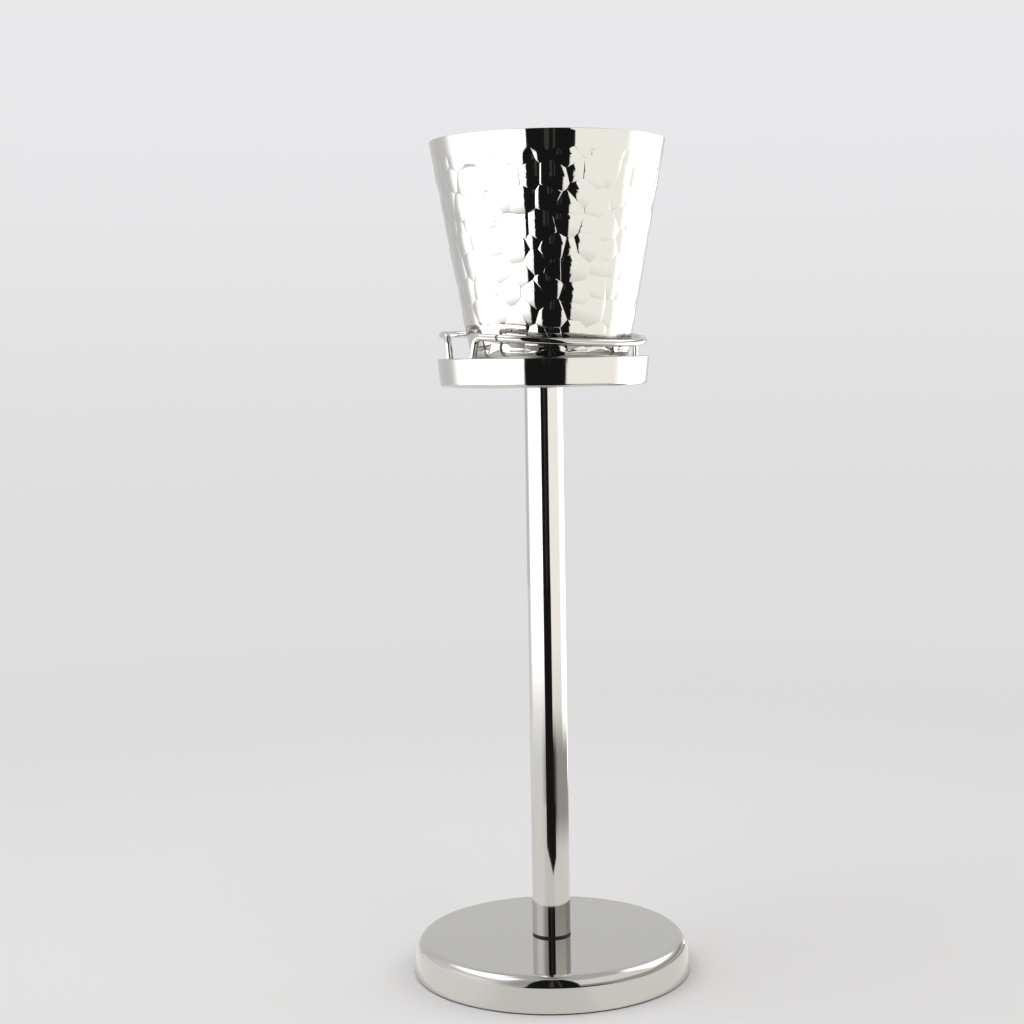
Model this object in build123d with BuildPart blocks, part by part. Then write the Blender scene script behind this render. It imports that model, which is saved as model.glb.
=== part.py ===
from build123d import *

import os
from math import cos, radians, sin, tan

# Champagne bucket stand: weighted foot, tubular pole, round tray with a wire gallery, and a loose
# bucket. Millimetres, +Z up. The origin is on the floor, on the pole's axis, and -Y is the front.

# ---------------------------------------------------------------- driving dimensions

SHEET = 1.5  # thickness of the spun stainless sheet
FIT_GAP = 0.05  # radial clearance of plugs, threads and pressed-in sheet

# foot
BASE_RADIUS = 137.0  # at the lower edge of the skirt
BASE_CORNER_RADIUS = 133.4  # where the skirt's line would meet the flat top
BASE_TOP = 34.0
BASE_SKIRT_GAP = 1.0  # daylight between the skirt and the floor
BASE_SHOULDER = 11.0  # bend radius between top and skirt
PAD_THICKNESS = 3.0
PAD_WIDTH = 22.0
PLATE_THICKNESS = 1.5
PLATE_ACCESS_RADIUS = 24.0  # opening under the pole bolt's head
BALLAST_RADIUS = 122.0
BALLAST_THICKNESS = 16.0
BALLAST_RECESS = 6.0  # depth of the pocket for the bolt's washers
BALLAST_CHAMFER = 2.0
BOSS_CIRCLE = 100.0  # radius of the circle on which the ballast's bosses stand
BOSS_RADIUS = 8.0
BOSS_COUNT = 3
BOSS_START_ANGLE = 30.0

# pole
POLE_RADIUS = 19.0
POLE_WALL = 1.5
GASKET_THICKNESS = 2.0
PLUG_LENGTH = 30.0
PLUG_CHAMFER = 1.0
BOLT_REACH = 26.0  # length of a bolt inside its plug
BOLT_HOLE_DEPTH = 28.0

# tray
LIP_HEIGHT = 606.5
TRAY_RADIUS = 103.0  # at the lip
TRAY_FLOOR_RADIUS = 100.2  # where the wall's line would meet the floor
TRAY_DEPTH = 27.5
TRAY_CORNER = 4.0
TRAY_LIP_ROUND = 0.45 * SHEET
DECK_INSET = 1.0  # the deck lies this far under the lip
DECK_FLANGE = 9.0
STIFFENER_RADIUS = 34.0
STIFFENER_THICKNESS = 3.0
SPACER_RADIUS = 40.0

# gallery
RAIL_WIRE = 7.0
RAIL_RADIUS = 97.5  # of the wire's centre line
RAIL_HEIGHT = 19.7  # centre line over the lip, at the middle of the ring
RAIL_TILT = 3.5  # degrees, the ring is bent a little out of level
RAIL_HIGH_SIDE = 129.0  # degrees, the direction in which the ring rises
RAIL_WARP = 1.4  # how far the ring also springs up, and down between, out of its plane
RAIL_WARP_HIGH_SIDE = 53.6  # degrees, one of the two opposite directions where it springs up
RAIL_POINT_STEP = 9.0  # degrees between the points that carry the ring's centre line
LEFT_LEG_ANGLE = 196.5  # degrees, where the ring ends above the left leg
FRONT_LEG_ANGLE = 232.5  # degrees, where the ring ends above the front leg
LEG_BEND = 7.5  # bend radius of the wire's centre line
FRONT_LEG_SPLAY = 15.0  # degrees from vertical, along the ring
LEG_TOE_IN = 4.0  # degrees from vertical, towards the pole's axis
POST_WIRE = 5.0
POST_ANGLES = {"right": 332.0, "back": 92.0}

# bucket
BUCKET_RIM_HEIGHT = 813.0
BUCKET_RIM_RADIUS = 113.7
BUCKET_FOOT_RADIUS = 76.1  # where the cone's line would meet the deck
BUCKET_SHEET = 1.2
BUCKET_CORNER = 4.0
BUCKET_OFFSET = 6.5  # the loose bucket stands this far off the tray's axis, along +X

# fasteners
BOLT_RADIUS = 6.0  # M12
BOLT_CLEARANCE_RADIUS = 6.5
BOLT_HEAD_FLATS = 19.0
BOLT_HEAD_HEIGHT = 7.5
FLAT_WASHER_RADIUS = 18.5
FLAT_WASHER_THICKNESS = 3.0
LOCK_WASHER_RADIUS = 10.5
LOCK_WASHER_THICKNESS = 2.5
LOCK_WASHER_SLIT = 2.0
SCREW_RADIUS = 2.5  # M5
SCREW_CLEARANCE_RADIUS = 2.75
SCREW_HEAD_RADIUS = 5.0
SCREW_HEAD_HEIGHT = 2.2
SCREW_LENGTH = 9.0
SCREW_HOLE_DEPTH = 10.0

# ---------------------------------------------------------------- levels, from the floor up

plate_top = PAD_THICKNESS + PLATE_THICKNESS
ballast_top = BASE_TOP - SHEET
ballast_bottom = ballast_top - BALLAST_THICKNESS
recess_top = ballast_bottom + BALLAST_RECESS
pole_bottom = BASE_TOP + GASKET_THICKNESS
pole_top = LIP_HEIGHT - TRAY_DEPTH
tray_floor = pole_top + SHEET
deck_top = LIP_HEIGHT - DECK_INSET
deck_bottom = deck_top - SHEET
rail_level = LIP_HEIGHT + RAIL_HEIGHT

skirt_slope = (BASE_RADIUS - BASE_CORNER_RADIUS) / (BASE_TOP - BASE_SKIRT_GAP)
tray_slope = (TRAY_RADIUS - TRAY_FLOOR_RADIUS) / TRAY_DEPTH
bucket_slope = (BUCKET_RIM_RADIUS - BUCKET_FOOT_RADIUS) / (BUCKET_RIM_HEIGHT - deck_top)

boss_points = PolarLocations(BOSS_CIRCLE, BOSS_COUNT, start_angle=BOSS_START_ANGLE)


def skirt_inner_radius(z):
    """Inner radius of the foot's skirt at height z."""
    return BASE_RADIUS - SHEET - skirt_slope * (z - BASE_SKIRT_GAP)


def tray_inner_radius(z):
    """Inner radius of the tray's wall at height z."""
    return TRAY_RADIUS - SHEET - tray_slope * (LIP_HEIGHT - z)


def bucket_outer_radius(z):
    """Radius of the bucket's outer cone at height z."""
    return BUCKET_FOOT_RADIUS + bucket_slope * (z - deck_top)


def save(part, name):
    """Label a finished piece and write it as its own STEP file."""
    part.label = name
    export_step(part, f"parts/{name}.step")


def round_corner(place, radius):
    """Round the corner of the section in progress that lies nearest to place."""
    fillet(vertices().sort_by_distance(place)[0], radius)


def ring(bottom, height, outer_radius, inner_radius):
    """A flat ring about the pole's axis."""
    with BuildPart() as flat_ring:
        with BuildSketch(Plane.XY.offset(bottom)):
            Circle(outer_radius)
            Circle(inner_radius, mode=Mode.SUBTRACT)
        extrude(amount=height)
    return flat_ring.part


def lock_washer(bottom):
    """A split spring washer for the M12 bolts."""
    with BuildPart() as washer:
        with BuildSketch(Plane.XY.offset(bottom)):
            Circle(LOCK_WASHER_RADIUS)
            Circle(BOLT_RADIUS + FIT_GAP, mode=Mode.SUBTRACT)
            with Locations((LOCK_WASHER_RADIUS, 0)):
                Rectangle(LOCK_WASHER_RADIUS, LOCK_WASHER_SLIT, mode=Mode.SUBTRACT)
        extrude(amount=LOCK_WASHER_THICKNESS)
    return washer.part


def hex_bolt(seat, direction, grip):
    """An M12 hexagon bolt whose head rests at height seat; its shank runs along direction (+1 up)."""
    with BuildPart() as bolt:
        with BuildSketch(Plane.XY.offset(seat)):
            RegularPolygon(BOLT_HEAD_FLATS / 2, 6, major_radius=False)
        extrude(amount=-direction * BOLT_HEAD_HEIGHT)
        with BuildSketch(Plane.XY.offset(seat)):
            Circle(BOLT_RADIUS)
        extrude(amount=direction * grip)
        tip = bolt.edges().filter_by(GeomType.CIRCLE).sort_by(Axis.Z)[-1 if direction > 0 else 0]
        chamfer(tip, PLUG_CHAMFER)
    return bolt.part


def tube_plug(bottom, mouth_up):
    """A plug for one end of the pole, with a blind tapped hole from its outer end."""
    with BuildPart() as plug:
        with BuildSketch(Plane.XY.offset(bottom)):
            Circle(POLE_RADIUS - POLE_WALL - FIT_GAP)
        extrude(amount=PLUG_LENGTH)
        inner_end = plug.edges().sort_by(Axis.Z)[0 if mouth_up else -1]
        chamfer(inner_end, PLUG_CHAMFER)
        mouth = bottom + PLUG_LENGTH if mouth_up else bottom
        with BuildSketch(Plane.XY.offset(mouth)):
            Circle(BOLT_RADIUS + FIT_GAP)
        extrude(amount=-BOLT_HOLE_DEPTH if mouth_up else BOLT_HOLE_DEPTH, mode=Mode.SUBTRACT)
    return plug.part


os.makedirs("parts", exist_ok=True)

# ---------------------------------------------------------------- foot

# Spun cover: flat top, rounded shoulder, skirt that widens a little towards the floor.
with BuildPart() as base_shell:
    with BuildSketch(Plane.XZ):
        with BuildLine():
            Polyline(
                (BOLT_CLEARANCE_RADIUS, ballast_top),
                (BOLT_CLEARANCE_RADIUS, BASE_TOP),
                (BASE_CORNER_RADIUS, BASE_TOP),
                (BASE_RADIUS, BASE_SKIRT_GAP),
                (BASE_RADIUS - SHEET, BASE_SKIRT_GAP),
                (skirt_inner_radius(ballast_top), ballast_top),
                close=True,
            )
        make_face()
        round_corner((skirt_inner_radius(ballast_top), ballast_top), BASE_SHOULDER - SHEET)
        round_corner((BASE_CORNER_RADIUS, BASE_TOP), BASE_SHOULDER)
    revolve(axis=Axis.Z)
save(base_shell.part, "base_shell")

# Cast ballast: a disc with a pocket for the washers and three tapped bosses for the closing plate.
with BuildPart() as base_ballast:
    with BuildSketch(Plane.XY.offset(ballast_bottom)):
        Circle(BALLAST_RADIUS)
    extrude(amount=BALLAST_THICKNESS)
    chamfer(base_ballast.edges().sort_by(Axis.Z)[-1], BALLAST_CHAMFER)
    with BuildSketch(Plane.XY.offset(ballast_bottom)):
        with boss_points:
            Circle(BOSS_RADIUS)
    extrude(amount=plate_top - ballast_bottom)
    with BuildSketch(Plane.XY.offset(plate_top)):
        with boss_points:
            Circle(SCREW_RADIUS + FIT_GAP)
    extrude(amount=SCREW_HOLE_DEPTH, mode=Mode.SUBTRACT)
    with BuildSketch(Plane.XY.offset(ballast_bottom)):
        Circle(PLATE_ACCESS_RADIUS)
    extrude(amount=BALLAST_RECESS, mode=Mode.SUBTRACT)
    with BuildSketch(Plane.XY.offset(recess_top)):
        Circle(BOLT_CLEARANCE_RADIUS)
    extrude(amount=ballast_top - recess_top, mode=Mode.SUBTRACT)
save(base_ballast.part, "base_ballast")

# Closing plate inside the skirt.
with BuildPart() as base_plate:
    with BuildSketch(Plane.XY.offset(PAD_THICKNESS)):
        Circle(skirt_inner_radius(plate_top) - FIT_GAP)
        Circle(PLATE_ACCESS_RADIUS, mode=Mode.SUBTRACT)
        with boss_points:
            Circle(SCREW_CLEARANCE_RADIUS, mode=Mode.SUBTRACT)
    extrude(amount=PLATE_THICKNESS)
save(base_plate.part, "base_plate")

# Three low-head screws that hold the closing plate to the bosses.
with BuildPart() as base_plate_screws:
    with BuildSketch(Plane.XY.offset(PAD_THICKNESS)):
        with boss_points:
            Circle(SCREW_HEAD_RADIUS)
    extrude(amount=-SCREW_HEAD_HEIGHT)
    with BuildSketch(Plane.XY.offset(PAD_THICKNESS)):
        with boss_points:
            Circle(SCREW_RADIUS)
    extrude(amount=SCREW_LENGTH)
save(base_plate_screws.part, "base_plate_screws")

# Anti-slip ring under the plate; the stand rests on it.
pad_radius = skirt_inner_radius(PAD_THICKNESS) - 1.0
save(ring(0, PAD_THICKNESS, pad_radius, pad_radius - PAD_WIDTH), "base_pad")

# ---------------------------------------------------------------- foot joint

foot_lock_top = recess_top - FLAT_WASHER_THICKNESS
foot_bolt_seat = foot_lock_top - LOCK_WASHER_THICKNESS

save(
    ring(foot_lock_top, FLAT_WASHER_THICKNESS, FLAT_WASHER_RADIUS, BOLT_CLEARANCE_RADIUS),
    "pole_foot_washer",
)
save(lock_washer(foot_bolt_seat), "pole_foot_lock_washer")
save(hex_bolt(foot_bolt_seat, 1, pole_bottom + BOLT_REACH - foot_bolt_seat), "pole_foot_bolt")
save(
    ring(BASE_TOP, GASKET_THICKNESS, POLE_RADIUS - FIT_GAP, BOLT_CLEARANCE_RADIUS),
    "pole_foot_gasket",
)
save(tube_plug(pole_bottom, mouth_up=False), "pole_foot_plug")

# ---------------------------------------------------------------- pole

save(ring(pole_bottom, pole_top - pole_bottom, POLE_RADIUS, POLE_RADIUS - POLE_WALL), "pole_tube")

# ---------------------------------------------------------------- head joint

head_lock_bottom = tray_floor + STIFFENER_THICKNESS
head_bolt_seat = head_lock_bottom + LOCK_WASHER_THICKNESS

save(tube_plug(pole_top - PLUG_LENGTH, mouth_up=True), "pole_head_plug")
save(
    ring(tray_floor, STIFFENER_THICKNESS, STIFFENER_RADIUS, BOLT_CLEARANCE_RADIUS),
    "tray_stiffener",
)
save(lock_washer(head_lock_bottom), "pole_head_lock_washer")
save(hex_bolt(head_bolt_seat, -1, head_bolt_seat - pole_top + BOLT_REACH), "pole_head_bolt")

# ---------------------------------------------------------------- tray

# Spun pan: flat floor, small rounded corner, wall that widens a little towards a rounded lip.
with BuildPart() as tray_pan:
    with BuildSketch(Plane.XZ):
        with BuildLine():
            Polyline(
                (BOLT_CLEARANCE_RADIUS, tray_floor),
                (BOLT_CLEARANCE_RADIUS, pole_top),
                (TRAY_FLOOR_RADIUS, pole_top),
                (TRAY_RADIUS, LIP_HEIGHT),
                (TRAY_RADIUS - SHEET, LIP_HEIGHT),
                (tray_inner_radius(tray_floor), tray_floor),
                close=True,
            )
        make_face()
        round_corner((tray_inner_radius(tray_floor), tray_floor), TRAY_CORNER - SHEET)
        round_corner((TRAY_FLOOR_RADIUS, pole_top), TRAY_CORNER)
        round_corner((TRAY_RADIUS, LIP_HEIGHT), TRAY_LIP_ROUND)
        round_corner((TRAY_RADIUS - SHEET, LIP_HEIGHT), TRAY_LIP_ROUND)
    revolve(axis=Axis.Z)
save(tray_pan.part, "tray_pan")

# Deck: a flat plate with a turned-down flange, pressed into the pan's tapered wall.
with BuildPart() as tray_deck:
    flange_bottom = deck_top - DECK_FLANGE
    with BuildSketch(Plane.XZ):
        with BuildLine():
            Polyline(
                (0, deck_bottom),
                (0, deck_top),
                (tray_inner_radius(deck_top) - FIT_GAP, deck_top),
                (tray_inner_radius(flange_bottom) - FIT_GAP, flange_bottom),
                (tray_inner_radius(flange_bottom) - FIT_GAP - SHEET, flange_bottom),
                (tray_inner_radius(deck_bottom) - FIT_GAP - SHEET, deck_bottom),
                close=True,
            )
        make_face()
    revolve(axis=Axis.Z)
save(tray_deck.part, "tray_deck")

# Short tube that carries the middle of the deck.
save(
    ring(tray_floor, deck_bottom - tray_floor, SPACER_RADIUS, SPACER_RADIUS - SHEET),
    "tray_spacer",
)

# ---------------------------------------------------------------- gallery

up = Vector(0, 0, 1)


def rail_point(angle):
    """The point of the ring's centre line in the direction angle, in degrees."""
    tilt = RAIL_RADIUS * tan(radians(RAIL_TILT)) * cos(radians(angle - RAIL_HIGH_SIDE))
    warp = RAIL_WARP * cos(2 * radians(angle - RAIL_WARP_HIGH_SIDE))
    turn = radians(angle)
    return Vector(RAIL_RADIUS * cos(turn), RAIL_RADIUS * sin(turn), rail_level + tilt + warp)


def rail_heading(angle):
    """The ring's direction at angle, counter-clockwise seen from above."""
    step = 0.01
    return (rail_point(angle + step) - rail_point(angle - step)).normalized()


def leg_points(start, heading, splay):
    """Middle and end of a leg's bend, and its foot under the deck's surface."""
    along = Vector(heading.X, heading.Y, 0).normalized() * tan(radians(splay))
    toe_in = Vector(-start.X, -start.Y, 0).normalized() * tan(radians(LEG_TOE_IN))
    leg = (along + toe_in - up).normalized()
    turn = radians(heading.get_angle(leg))
    inward = (leg - heading * leg.dot(heading)).normalized()
    centre = start + inward * LEG_BEND
    middle = centre + (heading * sin(turn / 2) - inward * cos(turn / 2)) * LEG_BEND
    end = centre + (heading * sin(turn) - inward * cos(turn)) * LEG_BEND
    foot = end + leg * ((deck_bottom - end.Z) / leg.Z)
    return middle, end, foot


left_start = rail_point(LEFT_LEG_ANGLE)
left_middle, left_end, left_foot = leg_points(left_start, rail_heading(LEFT_LEG_ANGLE), 0)
front_start = rail_point(FRONT_LEG_ANGLE)
front_heading = rail_heading(FRONT_LEG_ANGLE) * -1
front_middle, front_end, front_foot = leg_points(front_start, front_heading, FRONT_LEG_SPLAY)

ring_sweep = LEFT_LEG_ANGLE + 360 - FRONT_LEG_ANGLE
ring_steps = round(ring_sweep / RAIL_POINT_STEP)
ring_points = [rail_point(LEFT_LEG_ANGLE - ring_sweep * k / ring_steps) for k in range(ring_steps + 1)]

# One wire: left leg, round the back and right side, then down the front leg. Both feet are cut
# flush with the deck, where they are welded.
with BuildPart() as gallery_rail:
    with BuildLine() as rail_path:
        Line(left_foot, left_end)
        ThreePointArc(left_end, left_middle, left_start)
        Spline(ring_points, tangents=(rail_heading(LEFT_LEG_ANGLE) * -1, front_heading))
        ThreePointArc(front_start, front_middle, front_end)
        Line(front_end, front_foot)
    with BuildSketch(Plane(origin=left_foot, z_dir=up)):
        Circle(RAIL_WIRE / 2)
    sweep(path=rail_path.wire())
    split(bisect_by=Plane.XY.offset(deck_top), keep=Keep.TOP)
save(gallery_rail.part, "gallery_rail")

# Two thinner posts welded between the deck and the underside of the ring.
for side, angle in POST_ANGLES.items():
    post_top = rail_point(angle)
    with BuildPart() as gallery_post:
        with BuildSketch(Plane.XY.offset(deck_top)):
            with Locations((post_top.X, post_top.Y)):
                Circle(POST_WIRE / 2)
        extrude(amount=post_top.Z - deck_top)
        add(gallery_rail.part, mode=Mode.SUBTRACT)
    save(gallery_post.part, f"gallery_post_{side}")

# ---------------------------------------------------------------- bucket

# Conical bucket of one sheet, open at the top. It stands loose on the deck.
with BuildPart() as bucket_shell:
    wall_inset = BUCKET_SHEET * (1 + bucket_slope**2) ** 0.5
    inner_bottom = deck_top + BUCKET_SHEET
    with BuildSketch(Plane.XZ):
        with BuildLine():
            Polyline(
                (0, inner_bottom),
                (0, deck_top),
                (BUCKET_FOOT_RADIUS, deck_top),
                (BUCKET_RIM_RADIUS, BUCKET_RIM_HEIGHT),
                (BUCKET_RIM_RADIUS - wall_inset, BUCKET_RIM_HEIGHT),
                (bucket_outer_radius(inner_bottom) - wall_inset, inner_bottom),
                close=True,
            )
        make_face()
        inner_foot = bucket_outer_radius(inner_bottom) - wall_inset
        round_corner((inner_foot, inner_bottom), BUCKET_CORNER - BUCKET_SHEET)
        round_corner((BUCKET_FOOT_RADIUS, deck_top), BUCKET_CORNER)
    revolve(axis=Axis.Z)
bucket = bucket_shell.part.moved(Location((BUCKET_OFFSET, 0, 0)))
save(bucket, "bucket_shell")
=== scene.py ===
import math
import random

import bmesh
import bpy
from mathutils import Euler, Matrix, Vector


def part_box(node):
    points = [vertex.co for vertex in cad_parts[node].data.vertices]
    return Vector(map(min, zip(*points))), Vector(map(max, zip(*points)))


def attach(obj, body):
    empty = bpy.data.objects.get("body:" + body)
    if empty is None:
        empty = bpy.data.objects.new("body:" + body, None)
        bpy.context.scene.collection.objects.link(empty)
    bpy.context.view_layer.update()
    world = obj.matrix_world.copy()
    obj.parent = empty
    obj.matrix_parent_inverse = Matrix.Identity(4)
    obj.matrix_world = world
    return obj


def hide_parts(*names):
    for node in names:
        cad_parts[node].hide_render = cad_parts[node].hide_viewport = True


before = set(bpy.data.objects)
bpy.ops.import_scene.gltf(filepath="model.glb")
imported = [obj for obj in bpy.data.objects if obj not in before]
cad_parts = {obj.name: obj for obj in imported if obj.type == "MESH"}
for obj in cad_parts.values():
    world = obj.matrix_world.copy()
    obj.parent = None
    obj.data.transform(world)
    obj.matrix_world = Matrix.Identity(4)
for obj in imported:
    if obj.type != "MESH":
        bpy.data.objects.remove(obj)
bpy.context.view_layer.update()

scene = bpy.context.scene

# Sizes are in metres. Angles are in degrees, and in radians inside the bucket's own functions.
QUARTER = math.radians(90)

# ------------------------------------------------------------------ hammered bucket

BUCKET_FOOT_RADIUS = 0.0761  # where the line of the wall meets the deck
BUCKET_SHEET = 0.0012
BUCKET_CORNER = 0.004
RIM_ROUND = 0.0004
SMOOTH_BAND = 0.0165  # plain band under the rim, measured up the wall
PLAIN_FOOT = 0.0055  # plain wall above the deck
BAND_FADE = 0.006  # the marks grow to full depth over this distance from the band
FOOT_FADE = 0.003
MARK_WIDTH = 0.0192  # mean size of a mark round the bucket
MARK_HEIGHT = 0.0208  # and up the wall
MARK_JITTER = 0.36  # how far a mark's middle is off the regular pattern, as a share of its size
MARK_TILT = 0.16  # spread of the marks' weights, which tilts one against the next
MARK_DOME_RADIUS = 0.105
MARK_CROWN = 0.00025  # how far a mark's middle stands off the plain wall
MARK_SEED = 23
FIRST_ROW = 0.3  # the first row's middles are this share of a mark's height below the hammered zone
LAST_ROW = 1.2  # and rows are laid to this many heights above it
REACH = 2.6  # a mark ends within this many mark heights of its middle
CREASE_STEP = 0.0018  # longest mesh edge along a crease
CREASE_SHARE = 0.09  # share of a mark, from its edge, that dips into the crease
CREASE_DEPTH = 0.000035
OUTER_RINGS = (0.955, 0.91, 0.7, 0.38)  # from a mark's crease to its middle, as shares of its size
INNER_RINGS = (0.55,)  # the same on the inside of the bucket
FLOOR_RINGS = (0.8, 0.55, 0.3, 0.1)  # rings of vertices over the bucket's floor, as shares of its radius
BAND_STEPS = 8  # rings of vertices up the plain band
CORNER_STEPS = 8
RIM_STEPS = 4

# Tolerances. Outlines are measured on the wall's own scale, in radians round the axis.
SAME_CORNER = 1e-6  # corners of an outline nearer than this are one
ON_EDGE = 1e-7  # a point this near an end of the hammered zone is on it
WELD = 2e-6  # vertices nearer than this are one, in metres
TURN_SEAM = 1e-4  # moves the seam of the turns off the marks' own seam
NO_MARK = -1  # tags a face outside the marks


class Wall:
    """The bucket's plain conical wall.

    A point on it is (turn, rise): the angle round the axis in radians, and a height up the wall on the
    same scale, so that a mark keeps its shape.
    """

    def __init__(self, node):
        low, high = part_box(node)
        self.axis = Vector(((low.x + high.x) / 2, (low.y + high.y) / 2, 0))
        self.foot, self.rim = low.z, high.z
        self.rim_radius = (high.x - low.x) / 2
        self.lean = math.atan2(self.rim_radius - BUCKET_FOOT_RADIUS, self.rim - self.foot)
        self.sine, self.cosine = math.sin(self.lean), math.cos(self.lean)
        self.apex = self.foot - BUCKET_FOOT_RADIUS / math.tan(self.lean)

    def radius(self, rise):
        return math.exp(rise * self.sine)

    def rise(self, z):
        return math.log((z - self.apex) * math.tan(self.lean)) / self.sine

    def rim_start(self):
        """The height at which the rounded rim starts."""
        return self.rim - RIM_ROUND * (1 + self.sine)

    def band_start(self):
        """The height at which the plain band starts."""
        return self.rim - SMOOTH_BAND * self.cosine

    def hammered(self):
        """The two rises between which the wall is hammered."""
        return self.rise(self.foot + PLAIN_FOOT * self.cosine), self.rise(self.band_start())

    def point(self, turn, rise, out):
        """The point in space, moved out from the wall by out."""
        radius = self.radius(rise)
        z = self.apex + radius / math.tan(self.lean) - out * self.sine
        radius += out * self.cosine
        return self.axis + Vector((radius * math.cos(turn), radius * math.sin(turn), z))


def mark_middles(wall, low, high):
    """The marks' middles with their weights, row by row up the wall."""
    draw = random.Random(MARK_SEED)
    middles = []
    rise = low - FIRST_ROW * MARK_HEIGHT / wall.radius(low)
    while rise < high + LAST_ROW * MARK_HEIGHT / wall.radius(high):
        radius = wall.radius(rise)
        count = round(2 * math.pi * radius / MARK_WIDTH)
        phase = draw.random()
        for k in range(count):
            turn = 2 * math.pi * (k + phase + MARK_JITTER * draw.uniform(-1, 1)) / count
            up = rise + MARK_JITTER * draw.uniform(-1, 1) * MARK_HEIGHT / radius
            weight = MARK_TILT * draw.uniform(-1, 1) * (MARK_WIDTH / radius) ** 2
            middles.append((turn % (2 * math.pi), up, weight))
        rise += MARK_HEIGHT / radius
    return middles


def clip(corners, a, b, c):
    """The part of a convex polygon where a x + b y <= c."""
    kept = []
    for (x0, y0), (x1, y1) in zip(corners, corners[1:] + corners[:1]):
        d0, d1 = a * x0 + b * y0 - c, a * x1 + b * y1 - c
        if d0 <= 0:
            kept.append((x0, y0))
        if (d0 < 0 < d1) or (d1 < 0 < d0):
            share = d0 / (d0 - d1)
            kept.append((x0 + share * (x1 - x0), y0 + share * (y1 - y0)))
    return kept


def mark_outline(middles, index, low, high, reach):
    """The corners of one mark, which holds the points nearer to its middle than to any other.

    It is cut to the hammered height, from low to high.
    """
    x, y, w = middles[index]
    corners = [(x - reach, low), (x + reach, low), (x + reach, high), (x - reach, high)]
    for other, (x2, y2, w2) in enumerate(middles):
        if other == index or abs(y2 - y) > 2 * reach:
            continue
        x2 += 2 * math.pi * round((x - x2) / (2 * math.pi))
        if abs(x2 - x) > 2 * reach:
            continue
        a, b = 2 * (x2 - x), 2 * (y2 - y)
        corners = clip(corners, a, b, x2 * x2 + y2 * y2 - w2 - x * x - y * y + w)
        if not corners:
            return []
    tidy = []
    for p in corners:
        if not tidy or math.dist(p, tidy[-1]) > SAME_CORNER:
            tidy.append(p)
    if len(tidy) > 1 and math.dist(tidy[0], tidy[-1]) <= SAME_CORNER:
        tidy.pop()
    return tidy if len(tidy) > 2 else []


def smooth(t):
    """A smooth change from 0 to 1 as t goes from 0 to 1."""
    t = min(1.0, max(0.0, t))
    return t * t * (3 - 2 * t)


class Weld:
    """Vertices of one mesh, shared where two marks meet."""

    def __init__(self, mesh):
        self.mesh, self.known = mesh, {}

    def vertex(self, p):
        key = tuple(round(c / WELD) for c in p)
        near = (-1, 0, 1)
        for step in ((x, y, z) for x in near for y in near for z in near):
            found = self.known.get(tuple(k + s for k, s in zip(key, step)))
            if found is not None:
                return found
        self.known[key] = self.mesh.verts.new(p)
        return self.known[key]


def add_face(mesh, corners, mark, layer):
    """One face of its distinct corners, tagged with the number of its mark."""
    kept = []
    for v in corners:
        if v not in kept:
            kept.append(v)
    if len(kept) > 2:
        made = mesh.faces.new(kept)
        made.smooth = True
        made[layer] = mark


def add_strip(mesh, layer, loop, ring, mark=NO_MARK):
    """Faces between two closed rings of as many vertices."""
    for k in range(len(loop)):
        following = (k + 1) % len(loop)
        add_face(mesh, (loop[k], loop[following], ring[following], ring[k]), mark, layer)


def add_fan(mesh, layer, loop, middle, mark=NO_MARK):
    """Faces between a closed ring of vertices and one in its middle."""
    for k in range(len(loop)):
        add_face(mesh, (loop[k], loop[(k + 1) % len(loop)], middle), mark, layer)


def hammered_zone(mesh, layer, wall, middles, low, high, out, shares):
    """The hammered part of the wall, at out from the plain one.

    Returns its lower and upper edges, in order round the axis.
    """
    weld = Weld(mesh)
    reach = REACH * MARK_HEIGHT / wall.radius(low)

    def spot(p, mark, share=1.0):
        (turn, rise), (x, y, weight) = p, mark
        radius = wall.radius(rise)
        dome = (weight - (turn - x) ** 2 - (rise - y) ** 2) * radius**2 / (2 * MARK_DOME_RADIUS)
        fade = smooth((high - rise) * radius / BAND_FADE) * smooth((rise - low) * radius / FOOT_FADE)
        dip = CREASE_DEPTH * max(0.0, 1 - (1 - share) / CREASE_SHARE) ** 2
        return wall.point(turn, rise, out + (dome + MARK_CROWN - dip) * fade)

    edges = ({}, {})
    for index, mark in enumerate(middles):
        corners = mark_outline(middles, index, low, high, reach)
        if not corners:
            continue
        outline = []
        for (x0, y0), (x1, y1) in zip(corners, corners[1:] + corners[:1]):
            length = math.hypot(x1 - x0, y1 - y0) * wall.radius((y0 + y1) / 2)
            pieces = max(1, math.ceil(round(length / CREASE_STEP, 3)))
            for k in range(pieces):
                outline.append((x0 + (x1 - x0) * k / pieces, y0 + (y1 - y0) * k / pieces))
        loop = [weld.vertex(spot(p, mark)) for p in outline]
        for v, (turn, rise) in zip(loop, outline):
            for edge, limit in zip(edges, (low, high)):
                if abs(rise - limit) < ON_EDGE:
                    edge[v] = (turn + TURN_SEAM) % (2 * math.pi)
        cx = sum(p[0] for p in outline) / len(outline)
        cy = sum(p[1] for p in outline) / len(outline)
        for share in shares:
            ring = [(cx + share * (x - cx), cy + share * (y - cy)) for x, y in outline]
            ring = [mesh.verts.new(spot(p, mark, share)) for p in ring]
            add_strip(mesh, layer, loop, ring, index)
            loop = ring
        add_fan(mesh, layer, loop, mesh.verts.new(spot((cx, cy), mark, 0.0)), index)
    return [sorted(edge, key=edge.get) for edge in edges]


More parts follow.
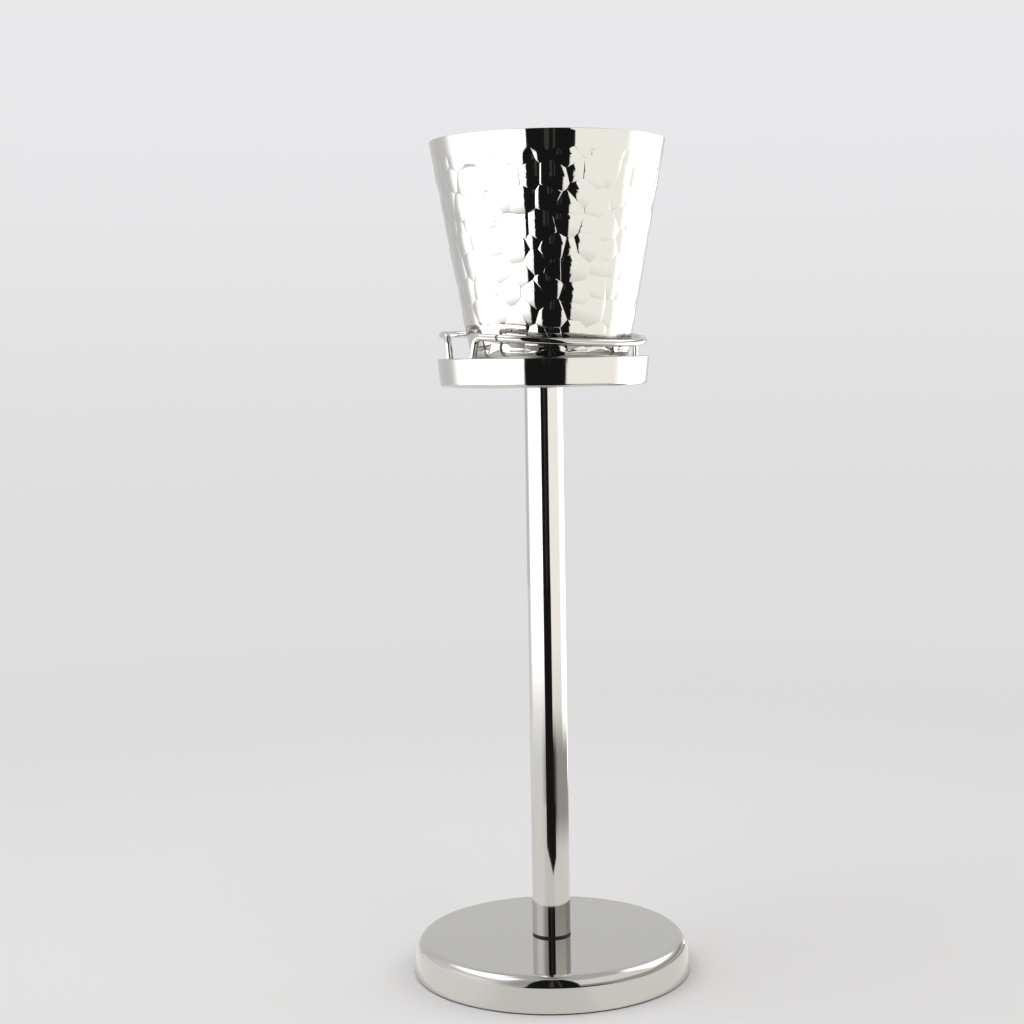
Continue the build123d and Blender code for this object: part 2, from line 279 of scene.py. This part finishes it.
def carry(mesh, layer, wall, loop, profile):
    """Carries a ring of vertices along a profile of (radius, z) points, and returns the last ring."""
    turns = [math.atan2(v.co.y - wall.axis.y, v.co.x - wall.axis.x) for v in loop]
    for radius, z in profile:
        ring = []
        for turn in turns:
            place = wall.axis + Vector((radius * math.cos(turn), radius * math.sin(turn), z))
            ring.append(mesh.verts.new(place))
        add_strip(mesh, layer, loop, ring)
        loop = ring
    return loop


def arc(centre, radius, start, stop, steps):
    """Points on an arc, its two ends included. Angles are in radians."""
    angles = [start + (stop - start) * k / steps for k in range(steps + 1)]
    return [(centre[0] + radius * math.cos(a), centre[1] + radius * math.sin(a)) for a in angles]


def sheet_side(mesh, layer, wall, middles, depth, shares):
    """One face of the bucket's sheet, at depth inside the outer one, closed over the floor.

    Returns its last ring of vertices, at the foot of the rounded rim.
    """
    bottom, top = hammered_zone(mesh, layer, wall, middles, *wall.hammered(), -depth, shares)

    band_height = wall.rim_start() - wall.band_start()
    band = []
    for k in range(1, BAND_STEPS + 1):
        z = wall.band_start() + band_height * k / BAND_STEPS
        place = wall.point(0, wall.rise(z), -depth) - wall.axis
        band.append((place.x, place.z))
    rim = carry(mesh, layer, wall, top, band)

    floor = wall.foot + depth
    floor_radius = BUCKET_FOOT_RADIUS - BUCKET_CORNER * math.tan((QUARTER - wall.lean) / 2)
    middle = (floor_radius, wall.foot + BUCKET_CORNER)
    profile = arc(middle, BUCKET_CORNER - depth, -wall.lean, -QUARTER, CORNER_STEPS)
    profile += [(floor_radius * share, floor) for share in FLOOR_RINGS]
    last = carry(mesh, layer, wall, bottom, profile)
    add_fan(mesh, layer, last, mesh.verts.new(wall.axis + Vector((0, 0, floor))))
    return rim


def rounded_rim(wall):
    """The profile of the rim from the sheet's outer face to its inner one, as (radius, z) points."""
    face = wall.point(0, wall.rise(wall.rim_start()), 0) - wall.axis
    inward = Vector((-wall.cosine, 0, wall.sine))
    outer = face + inward * RIM_ROUND
    inner = face + inward * (BUCKET_SHEET - RIM_ROUND)
    top = QUARTER - wall.lean
    profile = arc((outer.x, outer.z), RIM_ROUND, -wall.lean, top, RIM_STEPS)[1:]
    profile += arc((inner.x, inner.z), RIM_ROUND, top, top + QUARTER, RIM_STEPS)[:-1]
    return profile


def hammered_bucket():
    """The bucket with its hammer marks, as one closed sheet."""
    wall = Wall("bucket_shell")
    middles = mark_middles(wall, *wall.hammered())
    mesh = bmesh.new()
    layer = mesh.faces.layers.int.new("mark")
    outer = sheet_side(mesh, layer, wall, middles, 0, OUTER_RINGS)
    inner = sheet_side(mesh, layer, wall, middles, BUCKET_SHEET, INNER_RINGS)
    add_strip(mesh, layer, carry(mesh, layer, wall, outer, rounded_rim(wall)), inner)

    bmesh.ops.recalc_face_normals(mesh, faces=mesh.faces)
    for edge in mesh.edges:
        marks = {face[layer] for face in edge.link_faces}
        edge.smooth = len(marks) == 1 or NO_MARK in marks
    data = bpy.data.meshes.new("bucket_hammered")
    mesh.to_mesh(data)
    mesh.free()
    bucket = bpy.data.objects.new("bucket_hammered", data)
    scene.collection.objects.link(bucket)
    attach(bucket, "bucket")
    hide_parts("bucket_shell")
    return bucket


# ------------------------------------------------------------------ materials


class Nodes:
    """Short calls for building a node tree."""

    def __init__(self, tree):
        self.tree = tree
        tree.nodes.clear()

    def add(self, kind, inputs=(), **settings):
        node = self.tree.nodes.new(kind)
        for name, value in settings.items():
            setattr(node, name, value)
        for name, value in dict(inputs).items():
            if isinstance(value, bpy.types.NodeSocket):
                self.tree.links.new(value, node.inputs[name])
            else:
                node.inputs[name].default_value = value
        return node

    def calc(self, operation, a, b=0.0, c=0.0):
        return self.add("ShaderNodeMath", {0: a, 1: b, 2: c}, operation=operation).outputs[0]

    def step(self, value, start, stop, low=0.0, high=1.0):
        """low before start and high after stop, with a smooth change between them."""
        inputs = {"Value": value, "From Min": start, "From Max": stop, "To Min": low, "To Max": high}
        return self.add("ShaderNodeMapRange", inputs, interpolation_type="SMOOTHSTEP").outputs["Result"]

    def between(self, value, start, stop, soft):
        """1 from start to stop, and 0 outside them."""
        rise = self.step(value, start - soft, start + soft)
        fall = self.step(value, stop - soft, stop + soft, 1.0, 0.0)
        return self.calc("MULTIPLY", rise, fall)

    def mix(self, share, a, b):
        """The colour a where share is 0, and b where it is 1."""
        node = self.tree.nodes.new("ShaderNodeMix")
        node.data_type = "RGBA"
        for socket, value in ((node.inputs[0], share), (node.inputs[6], a), (node.inputs[7], b)):
            if isinstance(value, bpy.types.NodeSocket):
                self.tree.links.new(value, socket)
            else:
                socket.default_value = value
        return node.outputs[2]


def grey(value, tint=(1, 1, 1)):
    return (value * tint[0], value * tint[1], value * tint[2], 1)


SMUDGE_SCALE = 60.0  # of the noise in the steel's roughness
RIPPLE_SCALE = 22.0  # of the noise in its surface


def steel(name, colour, roughness, spread, ripple=0.0):
    """Polished steel: the roughness wanders by spread, as on a wiped finish, and the surface by ripple."""
    material = bpy.data.materials.new(name)
    material.use_nodes = True
    n = Nodes(material.node_tree)
    place = n.add("ShaderNodeTexCoord").outputs["Object"]
    noise = {"Vector": place, "Scale": SMUDGE_SCALE, "Detail": 4.0, "Roughness": 0.6}
    wander = n.add("ShaderNodeTexNoise", noise).outputs["Fac"]
    limits = {"From Min": 0.3, "From Max": 0.7, "To Min": roughness - spread, "To Max": roughness + spread}
    rough = n.add("ShaderNodeMapRange", {"Value": wander, **limits}).outputs["Result"]
    inputs = {"Base Color": colour, "Metallic": 1.0, "Roughness": rough}
    if ripple:
        swell = n.add("ShaderNodeTexNoise", {"Vector": place, "Scale": RIPPLE_SCALE, "Detail": 1.0})
        inputs["Normal"] = n.add(
            "ShaderNodeBump", {"Height": swell.outputs["Fac"], "Strength": 1.0, "Distance": ripple}
        ).outputs["Normal"]
    shader = n.add("ShaderNodeBsdfPrincipled", inputs)
    n.add("ShaderNodeOutputMaterial", {"Surface": shader.outputs[0]})
    return material


def rough_solid(name, colour, roughness, grain, depth):
    """A dull material whose colour and surface are broken up by a fine grain."""
    material = bpy.data.materials.new(name)
    material.use_nodes = True
    n = Nodes(material.node_tree)
    place = n.add("ShaderNodeTexCoord").outputs["Object"]
    noise = n.add("ShaderNodeTexNoise", {"Vector": place, "Scale": grain, "Detail": 5.0}).outputs["Fac"]
    tint = n.mix(noise, grey(0.75, colour), grey(1.25, colour))
    bump = n.add("ShaderNodeBump", {"Height": noise, "Strength": 1.0, "Distance": depth}).outputs["Normal"]
    shader = n.add("ShaderNodeBsdfPrincipled", {"Base Color": tint, "Roughness": roughness, "Normal": bump})
    n.add("ShaderNodeOutputMaterial", {"Surface": shader.outputs[0]})
    return material


STEEL = (0.62, 0.608, 0.588, 1)
finishes = {
    "foot": steel("polished_foot", STEEL, 0.05, 0.015, 0.00002),
    "pole": steel("polished_pole", STEEL, 0.05, 0.015),
    "tray": steel("polished_tray", STEEL, 0.05, 0.015),
    "wire": steel("polished_wire", STEEL, 0.07, 0.02),
    "hammered": steel("polished_hammered", STEEL, 0.04, 0.01),
    "zinc": steel("zinc_plated", (0.62, 0.63, 0.64, 1), 0.38, 0.08),
    "cast": rough_solid("cast_iron", (0.030, 0.030, 0.033), 0.75, 220.0, 0.0004),
    "rubber": rough_solid("rubber", (0.022, 0.022, 0.022), 0.8, 500.0, 0.0001),
    "plastic": rough_solid("black_plastic", (0.012, 0.012, 0.014), 0.45, 400.0, 0.00003),
}
finish_of = {
    "base_ballast": "cast",
    "base_pad": "rubber",
    "base_plate": "zinc",
    "base_plate_screws": "zinc",
    "base_shell": "foot",
    "bucket_shell": "hammered",
    "gallery_post_back": "wire",
    "gallery_post_right": "wire",
    "gallery_rail": "wire",
    "pole_foot_gasket": "plastic",
    "pole_tube": "pole",
    "tray_deck": "tray",
    "tray_pan": "tray",
}
for name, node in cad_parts.items():
    node.data.materials.clear()
    node.data.materials.append(finishes[finish_of.get(name, "zinc")])

bucket = hammered_bucket()
bucket.data.materials.append(finishes["hammered"])

# ------------------------------------------------------------------ floor, light and camera

# An azimuth is 0 towards -Y, in front of the object, and 90 towards +X, on its right.
EVERY = (-400, 400, 1)
FRONT_LEFT, FRONT_RIGHT = -22.0, 21.0  # the unlit part of the room in front
FRONT_RIGHT_LOW = 27.0  # its right side well below the horizon
FRONT_TOP = (76.0, 82.0)  # the elevations over which it ends overhead
GLEAMS = ((-4.0, 0.5), (4.5, 6.5))  # azimuths of the faint upright gleams in it
SHEET_LEFT, SHEET_RIGHT = -111.0, 150.0  # the far ends of the bright sheets low on both sides
SHADE = (-52.0, -22.0)  # the left sheet falls into shade between these
WINDOW_LEFT = 90.0

# The studio round the object, as patches of light laid over one another: azimuth from, to and softness,
# then elevation from, to and softness, then brightness and tint.
STUDIO = (
    (EVERY, (50, 400, 6), 0.58, (1, 1, 1)),  # room above the cloth behind
    ((-128, 24, 10), (-400, 64, 6), 0.82, (1, 1, 1)),  # grey wall on the left
    ((-44, 24, 14), (-400, 64, 6), 0.46, (1, 1, 1)),  # its shaded end
    ((SHEET_LEFT, 24, 12), (-400, 2, 2), 2.3, (1, 1, 1)),  # bright sheet low on the left
    ((-98, -56, 14), (12, 30, 5), 1.1, (1, 1, 0.98)),  # lighter middle of that wall
    ((-139, -51, 9), (44, 71, 6), 1.95, (1, 1, 1.02)),  # softbox high on the left
    ((20, SHEET_RIGHT, 5), (-400, 7, 3), 1.32, (1, 0.985, 0.94)),  # warm sheet low on the right
    ((WINDOW_LEFT, SHEET_RIGHT, 9), (-400, 7, 3), 2.2, (1, 1, 1)),  # window behind it
    ((20, SHEET_RIGHT, 6), (7, 20, 3), 0.42, (1, 0.95, 0.88)),  # shelf over them
    ((20, 96, 6), (19, 63, 4), 0.95, (1, 0.99, 0.95)),  # warm wall on the right
    ((98, 143, 5), (27, 58, 4), 1.95, (1, 1, 1.02)),  # window high on the right
)
CLOTH = grey(0.72)  # the cloth behind, where no patch lies
UNLIT = grey(0.012)
GLEAM = grey(0.06, (1, 0.92, 0.87))
HORIZON = grey(0.735, (0.99, 0.995, 1))  # the backdrop as the camera sees it, at the floor's far edge
BACKDROP_TOP = grey(0.83, (0.98, 0.985, 1))
BACKDROP_RISE = (-7.0, 10.0)  # the elevations between these two colours


def polar(n, vector):
    """The azimuth of a vector in degrees, and its X, Y and Z."""
    parts = n.add("ShaderNodeSeparateXYZ", {0: vector}).outputs
    front = n.calc("MULTIPLY", parts["Y"], -1.0)
    return n.calc("DEGREES", n.calc("ARCTAN2", parts["X"], front)), parts


def unlit_front(n, azimuth, right_side, soft):
    """1 between the sides of the unlit front, and 0 outside them."""
    past_left = n.step(azimuth, FRONT_LEFT - soft, FRONT_LEFT + soft)
    before_right = n.step(n.calc("SUBTRACT", azimuth, right_side), -soft, soft, 1.0, 0.0)
    return n.calc("MULTIPLY", before_right, past_left)


def build_world():
    world = bpy.data.worlds.new("studio")
    world.use_nodes = True
    scene.world = world
    n = Nodes(world.node_tree)
    azimuth, parts = polar(n, n.add("ShaderNodeTexCoord").outputs["Generated"])
    rise = n.calc("DEGREES", n.calc("ARCSINE", parts["Z"]))
    light = CLOTH
    for across, up, value, tint in STUDIO:
        patch = n.calc("MULTIPLY", n.between(azimuth, *across), n.between(rise, *up))
        light = n.mix(patch, light, grey(value, tint))
    dark = UNLIT
    for start, stop in GLEAMS:
        dark = n.mix(n.between(azimuth, start, stop, 0.5), dark, GLEAM)
    right_side = n.step(rise, -16.0, -4.0, FRONT_RIGHT_LOW, FRONT_RIGHT)
    front = unlit_front(n, azimuth, right_side, 0.6)
    front = n.calc("MULTIPLY", front, n.step(rise, *FRONT_TOP, 1.0, 0.0))
    light = n.mix(front, light, dark)

    seen = n.mix(n.step(rise, *BACKDROP_RISE), HORIZON, BACKDROP_TOP)
    camera_ray = n.add("ShaderNodeLightPath").outputs["Is Camera Ray"]
    shown = n.mix(camera_ray, light, seen)
    background = n.add("ShaderNodeBackground", {"Color": shown, "Strength": 1.0})
    n.add("ShaderNodeOutputWorld", {"Surface": background.outputs[0]})


FLOOR_RADIUS = 3.0
FLOOR_DROP = 0.0004  # keeps the floor just clear of the foot
FLOOR_FADE = (0.7, 2.4)  # distances over which the camera sees the floor turn into the backdrop
FLOOR_MATT = grey(0.74, (1, 0.99, 0.985))
FLOOR_GLOW = (0.138, 0.155)  # past these distances the steel sees a painted glow in place of the lamp-lit floor
FLOOR_BACK = grey(0.88, (1, 0.985, 0.965))  # the same painted glow behind the object
WARM = (1, 0.975, 0.95)
CREAM = (1, 0.985, 0.94)
BARE_MIDDLE = 13.0  # azimuth at which the floor's painted unlit part comes nearest to the foot
BARE_START = 0.36  # how near it comes
BARE_SLANT = 0.0035  # how much farther off it starts for each degree from there


def painted_wood_reflection(n, azimuth):
    """Painted reflection of dark wood on the right, lighter the farther round it is."""
    return n.mix(n.step(azimuth, 26.0, 54.0), grey(0.03, (1, 0.62, 0.6)), grey(0.42, (1, 0.96, 0.92)))


def floor_painted_reflection(n, azimuth, away):
    """The floor's painted reflection, light and shade, that the steel sees in place of the lit floor, and 1
    on its painted unlit part.
    """
    shade = n.step(azimuth, *SHADE)
    near_left = n.mix(shade, grey(0.95, WARM), grey(0.82, WARM))
    left = n.mix(n.step(away, 0.9, 2.2), near_left, grey(2.1))
    painted_light = n.mix(n.between(azimuth, SHEET_LEFT, FRONT_RIGHT, 14.0), FLOOR_BACK, left)

    sheet = n.mix(n.step(away, 0.9, 2.3), grey(1.02, CREAM), grey(1.32, CREAM))
    sheet = n.mix(n.between(azimuth, WINDOW_LEFT, SHEET_RIGHT, 9.0), sheet, grey(2.2))
    near_right = n.mix(n.step(away, 0.42, 0.66), grey(0.92, (1, 0.965, 0.935)), painted_wood_reflection(n, azimuth))
    right = n.mix(n.step(away, 0.7, 0.9), near_right, sheet)
    painted_light = n.mix(n.between(azimuth, FRONT_RIGHT, SHEET_RIGHT, 4.0), painted_light, right)

    off_middle = n.calc("ABSOLUTE", n.calc("SUBTRACT", azimuth, BARE_MIDDLE))
    bare_start = n.calc("MULTIPLY_ADD", off_middle, BARE_SLANT, BARE_START)
    bare_right = n.step(away, 0.8, 1.2, FRONT_RIGHT + 12, FRONT_RIGHT + 2)
    # painted shade: the floor glows almost black where the steel would see the unlit front
    painted_unlit = n.step(n.calc("SUBTRACT", away, bare_start), -0.01, 0.01)
    painted_unlit = n.calc("MULTIPLY", painted_unlit, unlit_front(n, azimuth, bare_right, 1.5))
    return n.mix(painted_unlit, painted_light, UNLIT), painted_unlit


def build_floor():
    """A pale matt floor, which runs into the backdrop without an edge. Glossy rays see a painted glow of
    light and shade in its place.
    """
    place = (0, 0, -FLOOR_DROP)
    bpy.ops.mesh.primitive_circle_add(vertices=96, radius=FLOOR_RADIUS, fill_type="NGON", location=place)
    floor = bpy.context.object
    floor.name = "floor"
    material = bpy.data.materials.new("pale_floor_painted_reflection")
    material.use_nodes = True
    floor.data.materials.append(material)
    n = Nodes(material.node_tree)
    place = n.add("ShaderNodeTexCoord").outputs["Object"]
    azimuth = polar(n, place)[0]
    away = n.add("ShaderNodeVectorMath", {0: place}, operation="LENGTH").outputs["Value"]
    paths = n.add("ShaderNodeLightPath").outputs
    matt = n.add("ShaderNodeBsdfDiffuse", {"Color": FLOOR_MATT}).outputs[0]
    painted_light, painted_unlit = floor_painted_reflection(n, azimuth, away)
    # painted reflection: glossy rays see this glow, not the floor as the lamp lights it
    glow = n.add("ShaderNodeEmission", {"Color": painted_light, "Strength": 1.0}).outputs[0]
    painted_share = n.calc("MAXIMUM", painted_unlit, n.step(away, *FLOOR_GLOW))
    painted_share = n.calc("MULTIPLY", painted_share, paths["Is Glossy Ray"])
    near = n.add("ShaderNodeMixShader", {0: painted_share, 1: matt, 2: glow}).outputs[0]
    backdrop = n.add("ShaderNodeEmission", {"Color": HORIZON, "Strength": 1.0}).outputs[0]
    far = n.calc("MULTIPLY", n.step(away, *FLOOR_FADE), paths["Is Camera Ray"])
    mixed = n.add("ShaderNodeMixShader", {0: far, 1: near, 2: backdrop})
    n.add("ShaderNodeOutputMaterial", {"Surface": mixed.outputs[0]})


CARD_RADIUS = 0.7
CARD_HEIGHT = 0.14
CARD_FADE = 0.06  # height from which its top fades out
CARD_LEFT, CARD_RIGHT = -128, 138  # the azimuths of its ends
CARD_PIECES = 60


def card_painted_reflection(n, azimuth, height):
    """The card's painted reflection: painted light on the left, painted shade in front and painted wood on
    the right.
    """
    shade = n.step(azimuth, *SHADE)
    foot = n.mix(shade, grey(0.95), grey(0.5))
    top = n.mix(shade, grey(1.3), grey(0.9))
    # painted light: the top glows brighter than the foot
    painted_light = n.mix(n.step(height, 0.05, CARD_HEIGHT), foot, top)
    painted_light = n.mix(n.between(azimuth, FRONT_LEFT, FRONT_RIGHT + 5, 1.0), painted_light, UNLIT)
    return n.mix(n.step(azimuth, FRONT_RIGHT + 4, FRONT_RIGHT + 6), painted_light, painted_wood_reflection(n, azimuth))


def build_painted_reflection_card():
    """A glowing strip standing round the front, seen only in the steel, where it paints a reflection of the
    low edge of the set.
    """
    places = []
    for k in range(CARD_PIECES + 1):
        turn = math.radians(CARD_LEFT + (CARD_RIGHT - CARD_LEFT) * k / CARD_PIECES)
        x, y = CARD_RADIUS * math.sin(turn), -CARD_RADIUS * math.cos(turn)
        places += [(x, y, 0), (x, y, CARD_HEIGHT)]
    faces = [(2 * k, 2 * k + 1, 2 * k + 3, 2 * k + 2) for k in range(CARD_PIECES)]
    data = bpy.data.meshes.new("painted_reflection_card")
    data.from_pydata(places, [], faces)
    painted_reflection_card = bpy.data.objects.new("painted_reflection_card", data)
    scene.collection.objects.link(painted_reflection_card)
    painted_reflection_card.visible_camera = painted_reflection_card.visible_diffuse = painted_reflection_card.visible_shadow = False
    material = bpy.data.materials.new("painted_reflection_card")
    material.use_nodes = True
    data.materials.append(material)
    n = Nodes(material.node_tree)
    azimuth, parts = polar(n, n.add("ShaderNodeTexCoord").outputs["Object"])
    painted_light = card_painted_reflection(n, azimuth, parts["Z"])
    # painted reflection: the strip glows though it is no lamp
    glow = n.add("ShaderNodeEmission", {"Color": painted_light, "Strength": 1.0}).outputs[0]
    gone = n.add("ShaderNodeBsdfTransparent").outputs[0]
    soft_top = n.add("ShaderNodeMixShader", {0: n.step(parts["Z"], CARD_FADE, CARD_HEIGHT), 1: glow, 2: gone})
    n.add("ShaderNodeOutputMaterial", {"Surface": soft_top.outputs[0]})


LAMP_PLACE = (-0.3, -0.4, 2.6)
LAMP_SIZE = 2.2
LAMP_POWER = 18.0


def build_lamp():
    """A broad soft lamp overhead. It lights the floor, and isn't seen in the steel."""
    data = bpy.data.lights.new("overhead", "AREA")
    data.shape = "DISK"
    data.size = LAMP_SIZE
    data.energy = LAMP_POWER
    lamp = bpy.data.objects.new("overhead", data)
    scene.collection.objects.link(lamp)
    lamp.location = LAMP_PLACE
    lamp.visible_camera = lamp.visible_glossy = False


CAMERA_PLACE = (-0.0428, -1.796, 0.614)
CAMERA_PITCH = -5.02
CAMERA_YAW = -0.32
CAMERA_ROLL = -0.94
CAMERA_LENS = 64.8  # in millimetres, on a sensor 36 mm wide
CAMERA_SENSOR = 36.0


def build_camera():
    data = bpy.data.cameras.new("camera")
    data.sensor_width = CAMERA_SENSOR
    data.lens = CAMERA_LENS
    data.clip_start, data.clip_end = 0.05, 50.0
    camera = bpy.data.objects.new("camera", data)
    scene.collection.objects.link(camera)
    camera.location = CAMERA_PLACE
    tilt = Euler((math.radians(90 + CAMERA_PITCH), 0, math.radians(CAMERA_YAW))).to_matrix()
    roll = Matrix.Rotation(math.radians(CAMERA_ROLL), 3, "Z")
    camera.rotation_euler = (tilt @ roll).to_euler()
    scene.camera = camera


build_world()
build_floor()
build_painted_reflection_card()
build_lamp()
build_camera()
scene.view_settings.view_transform = "Standard"
